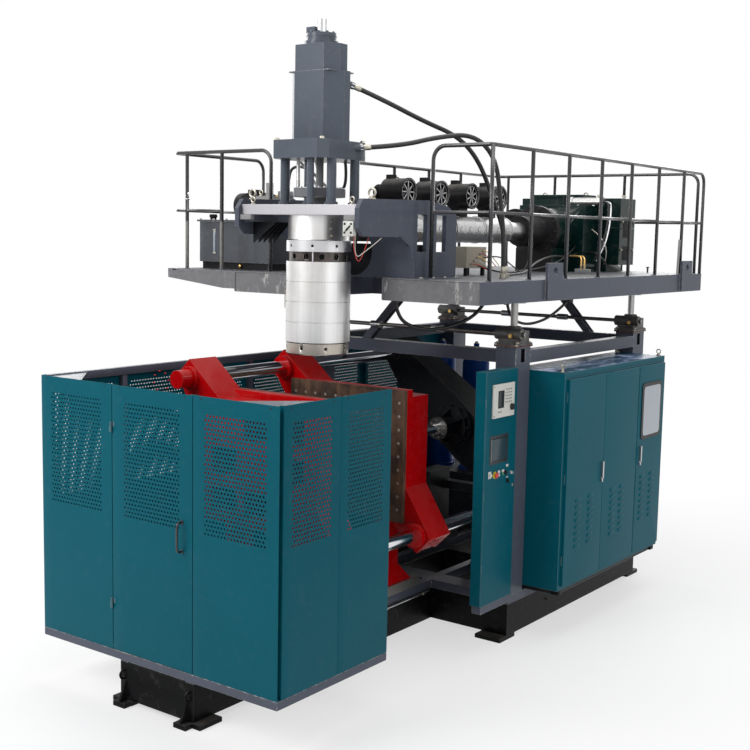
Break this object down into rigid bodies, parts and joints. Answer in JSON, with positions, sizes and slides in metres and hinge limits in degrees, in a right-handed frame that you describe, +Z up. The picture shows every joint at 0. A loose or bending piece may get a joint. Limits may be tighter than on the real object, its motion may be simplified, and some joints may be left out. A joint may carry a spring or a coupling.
{
  "type": "blow moulding machine",
  "caption": "Accumulator-head blow moulding machine: railed lifting platform with extruder, diagonal tie-bar clamp, perforated guard, control column and electric cabinet.",
  "frame": {"origin": "on the floor, in the middle of the four anchor holes of the base under the posts", "axes": "+Z up; +Y from the guard door back along the machine, under the extruder; +X towards the control column and the electric cabinet"},
  "size_m": [3.642, 6.779, 5.064],
  "materials": {
    "base_black": "satin paint",
    "frame_grey": "gloss paint",
    "head_grey": "gloss paint",
    "teal": "satin paint",
    "clamp_red": "gloss paint",
    "tail_grey": "satin paint",
    "mould_brown": "machined, oiled and slightly rusted",
    "chrome": "ground and plated",
    "steel": "machined",
    "jack_grey": "cast",
    "shaft_steel": "oiled",
    "rail_black": "gloss paint",
    "heater_silver": "satin sheet",
    "blower_black": "satin paint",
    "wheel_silver": "satin",
    "gear_green": "gloss paint",
    "box_beige": "satin paint",
    "hose_black": "matt",
    "fitting_steel": "plated",
    "bottle_blue": "gloss paint",
    "plastic_white": "moulded",
    "plastic_black": "moulded",
    "plastic_red": "moulded",
    "screen_dark": "glossy",
    "window_grey": "glossy"
  },
  "bodies": {
    "frame": {"clamp_base": "base_black", "main_base": "base_black", "slide_rails": "frame_grey", "post_frame": "frame_grey", "screw_jacks": "jack_grey", "guard_sill": "frame_grey", "guard_front": "teal", "guard_side_left": "teal", "guard_side_right": "teal", "hydraulic_station": "bottle_blue", "control_column": "teal", "programmer": "plastic_white", "touch_screen": "screen_dark", "cabinet": "teal"},
    "clamp_frame": {"front_platen": "clamp_red", "front_mould_plate": "mould_brown", "tie_bars": "chrome", "tail_platen": "tail_grey", "clamp_cylinder": "tail_grey"},
    "clamp_carriage": {"moving_platen": "clamp_red", "moving_mould_plate": "mould_brown", "clamp_piston_rod": "chrome"},
    "lifting_platform": {"platform_frame": "frame_grey", "railings": "rail_black", "lift_screws": "shaft_steel", "extruder_support": "head_grey", "extruder_barrel": "heater_silver", "blower_housings": "blower_black", "gearbox": "gear_green", "junction_box": "box_beige", "hydraulic_tank": "head_grey", "hydraulic_pump": "head_grey", "hose_upper": "hose_black", "hose_lower": "hose_black", "hose_glands": "fitting_steel", "head_plate": "steel", "head_yoke": "head_grey", "head_cylinder": "head_grey", "accumulator_head": "steel"},
    "shot_piston": {"push_disc": "steel"},
    "parison_core": {"die_core": "steel"},
    "fan_1": {"blower_wheel_1": "wheel_silver"},
    "fan_2": {"blower_wheel_2": "wheel_silver"},
    "fan_3": {"blower_wheel_3": "wheel_silver"},
    "fan_4": {"blower_wheel_4": "wheel_silver"},
    "worm_shaft_front": {"lift_shaft_front": "shaft_steel"},
    "worm_shaft_rear": {"lift_shaft_rear": "shaft_steel"},
    "front_door": {"guard_door": "teal"},
    "cabinet_leaf_left": {"cabinet_door_left": "teal"},
    "cabinet_leaf_middle": {"cabinet_door_middle": "teal"},
    "cabinet_leaf_right": {"cabinet_door_right": "teal", "cabinet_window": "window_grey"},
    "swing_handle_left": {"door_handle_left": "chrome"},
    "swing_handle_right": {"door_handle_right": "chrome"},
    "stop_button": {"emergency_stop": "plastic_red"},
    "start_button": {"push_button": "plastic_white"},
    "selector_1": {"selector_upper": "plastic_black"},
    "selector_2": {"selector_lower": "plastic_black"},
    "key": {"key_switch": "chrome"},
    "knob": {"programmer_knob": "plastic_black"}
  },
  "joints": [
    {"name": "clamp_frame_slide", "type": "slide", "parent": "frame", "child": "clamp_frame", "axis": [0, 1, 0], "range_m": [0, 0.24]},
    {"name": "moving_platen_slide", "type": "slide", "parent": "frame", "child": "clamp_carriage", "axis": [0, 1, 0], "range_m": [-0.24, 0]},
    {"name": "platform_lift", "type": "slide", "parent": "frame", "child": "lifting_platform", "axis": [0, 0, 1], "range_m": [0, 0.15]},
    {"name": "worm_shaft_front_turn", "type": "hinge", "parent": "frame", "child": "worm_shaft_front", "pos_m": [0, -1.2365, 2.611], "axis": [1, 0, 0], "range_deg": [0, 27360]},
    {"name": "worm_shaft_rear_turn", "type": "hinge", "parent": "frame", "child": "worm_shaft_rear", "pos_m": [0, 1.0925, 2.611], "axis": [1, 0, 0], "range_deg": [0, 27360]},
    {"name": "shot_stroke", "type": "slide", "parent": "lifting_platform", "child": "shot_piston", "axis": [0, 0, 1], "range_m": [-0.055, 0.15]},
    {"name": "parison_gap", "type": "slide", "parent": "lifting_platform", "child": "parison_core", "axis": [0, 0, 1], "range_m": [-0.012, 0]},
    {"name": "fan_1_turn", "type": "hinge", "parent": "lifting_platform", "child": "fan_1", "pos_m": [0.12, -1.417, 3.782], "axis": [1, 0, 0], "continuous": true},
    {"name": "fan_2_turn", "type": "hinge", "parent": "lifting_platform", "child": "fan_2", "pos_m": [0.12, -0.903, 3.782], "axis": [1, 0, 0], "continuous": true},
    {"name": "fan_3_turn", "type": "hinge", "parent": "lifting_platform", "child": "fan_3", "pos_m": [0.12, -0.389, 3.782], "axis": [1, 0, 0], "continuous": true},
    {"name": "fan_4_turn", "type": "hinge", "parent": "lifting_platform", "child": "fan_4", "pos_m": [0.12, 0.125, 3.782], "axis": [1, 0, 0], "continuous": true},
    {"name": "guard_door_hinge", "type": "hinge", "parent": "frame", "child": "front_door", "pos_m": [-0.395, -4.2923, 1.4], "axis": [0, 0, -1], "range_deg": [0, 110]},
    {"name": "leaf_left_hinge", "type": "hinge", "parent": "frame", "child": "cabinet_leaf_left", "pos_m": [1.506, -0.995, 1.355], "axis": [0, 0, -1], "range_deg": [0, 110]},
    {"name": "leaf_middle_hinge", "type": "hinge", "parent": "frame", "child": "cabinet_leaf_middle", "pos_m": [1.506, 0.409, 1.355], "axis": [0, 0, 1], "range_deg": [0, 90]},
    {"name": "leaf_right_hinge", "type": "hinge", "parent": "frame", "child": "cabinet_leaf_right", "pos_m": [1.506, 1.005, 1.355], "axis": [0, 0, 1], "range_deg": [0, 110]},
    {"name": "handle_left_turn", "type": "hinge", "parent": "cabinet_leaf_left", "child": "swing_handle_left", "pos_m": [1.504, -0.33, 1.31], "axis": [1, 0, 0], "range_deg": [0, 90]},
    {"name": "handle_right_turn", "type": "hinge", "parent": "cabinet_leaf_right", "child": "swing_handle_right", "pos_m": [1.504, 0.479, 1.34], "axis": [-1, 0, 0], "range_deg": [0, 90]},
    {"name": "emergency_stop_press", "type": "slide", "parent": "frame", "child": "stop_button", "axis": [-1, 0, 0], "range_m": [0, 0.006], "stiffness_N_per_m": 1500},
    {"name": "start_button_press", "type": "slide", "parent": "frame", "child": "start_button", "axis": [-1, 0, 0], "range_m": [0, 0.004], "stiffness_N_per_m": 800},
    {"name": "selector_upper_turn", "type": "hinge", "parent": "frame", "child": "selector_1", "pos_m": [1.17, -1.448, 1.485], "axis": [1, 0, 0], "range_deg": [-45, 45]},
    {"name": "selector_lower_turn", "type": "hinge", "parent": "frame", "child": "selector_2", "pos_m": [1.17, -1.411, 1.41], "axis": [1, 0, 0], "range_deg": [-45, 45]},
    {"name": "key_turn", "type": "hinge", "parent": "frame", "child": "key", "pos_m": [1.17, -1.35, 1.47], "axis": [1, 0, 0], "range_deg": [0, 90]},
    {"name": "programmer_knob_turn", "type": "hinge", "parent": "frame", "child": "knob", "pos_m": [1.17, -1.405, 2.031], "axis": [1, 0, 0], "continuous": true}
  ],
  "couplings": [
    {"joint": "moving_platen_slide", "follows": "clamp_frame_slide", "ratio": -1},
    {"joint": "worm_shaft_front_turn", "follows": "platform_lift", "rad_per_m": 3141.6},
    {"joint": "worm_shaft_rear_turn", "follows": "platform_lift", "rad_per_m": 3141.6}
  ]
}
